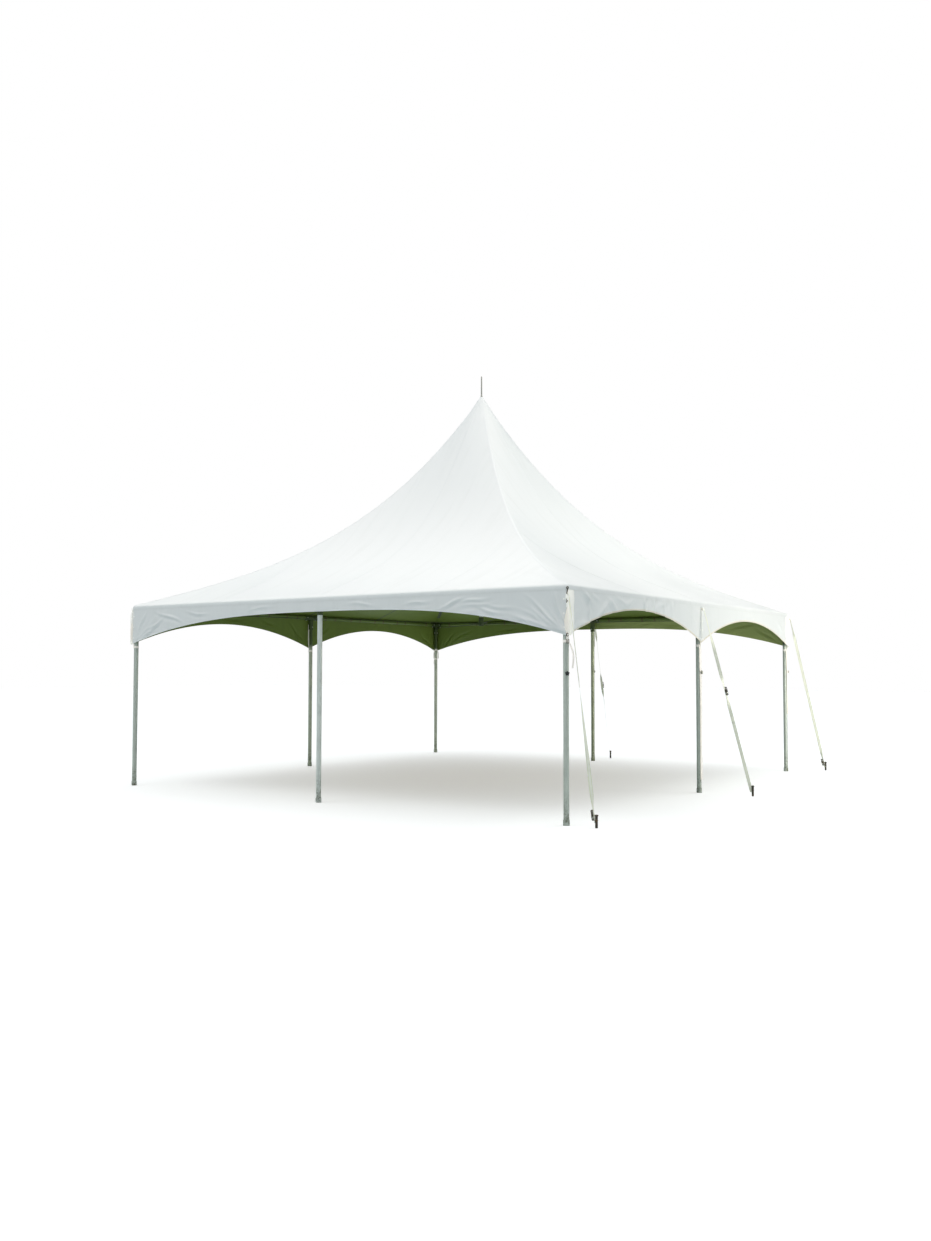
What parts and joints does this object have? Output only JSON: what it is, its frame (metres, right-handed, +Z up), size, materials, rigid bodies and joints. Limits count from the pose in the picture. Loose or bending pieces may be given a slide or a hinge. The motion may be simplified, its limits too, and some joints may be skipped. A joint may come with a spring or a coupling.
{
  "type": "marquee tent",
  "caption": "White high-peak frame marquee, square in plan, with arched valances, tube legs and strap guys.",
  "frame": {"origin": "centre of the front left foot, on the ground", "axes": "+Z up, -Y out of the front side, which has one wide arch and no guy at its middle leg, +X to the right seen from the front"},
  "size_m": [6.794, 6.772, 5.304],
  "materials": {
    "vinyl": "white coated vinyl cloth, semi gloss, with soft wrinkles",
    "tube": "weathered mill finish aluminium tube",
    "fitting": "dull cast aluminium",
    "cable": "galvanised wire rope",
    "strap": "woven olive and cream webbing",
    "ratchet": "dark painted steel",
    "stake": "dark forged steel",
    "finial": "dull beige grey rod"
  },
  "bodies": {
    "root": {"roof_front": "vinyl", "valance_front": "vinyl", "roof_right": "vinyl", "valance_right": "vinyl", "roof_back": "vinyl", "valance_back": "vinyl", "roof_left": "vinyl", "valance_left": "vinyl", "leg_front_left": "tube", "fitting_front_left": "fitting", "beam_front_left_to_front_middle": "tube", "cable_front_left": "cable", "leg_front_middle": "tube", "fitting_front_middle": "fitting", "beam_front_middle_to_front_right": "tube", "leg_front_right": "tube", "fitting_front_right": "fitting", "beam_front_right_to_right_middle": "tube", "cable_front_right": "cable", "leg_right_middle": "tube", "fitting_right_middle": "fitting", "beam_right_middle_to_back_right": "tube", "leg_back_right": "tube", "fitting_back_right": "fitting", "beam_back_right_to_back_middle": "tube", "cable_back_right": "cable", "leg_back_middle": "tube", "fitting_back_middle": "fitting", "beam_back_middle_to_back_left": "tube", "leg_back_left": "tube", "fitting_back_left": "fitting", "beam_back_left_to_left_middle": "tube", "cable_back_left": "cable", "leg_left_middle": "tube", "fitting_left_middle": "fitting", "beam_left_middle_to_front_left": "tube", "mast": "tube", "mast_foot": "fitting", "crown": "fitting", "finial": "finial", "guy_strap_front_right": "strap", "ratchet_front_right": "ratchet", "stake_front_right": "stake", "guy_strap_right_middle": "strap", "ratchet_right_middle": "ratchet", "stake_right_middle": "stake", "guy_strap_back_right": "strap", "ratchet_back_right": "ratchet", "stake_back_right": "stake", "guy_strap_back_middle": "strap", "ratchet_back_middle": "ratchet", "stake_back_middle": "stake"}
  },
  "joints": []
}
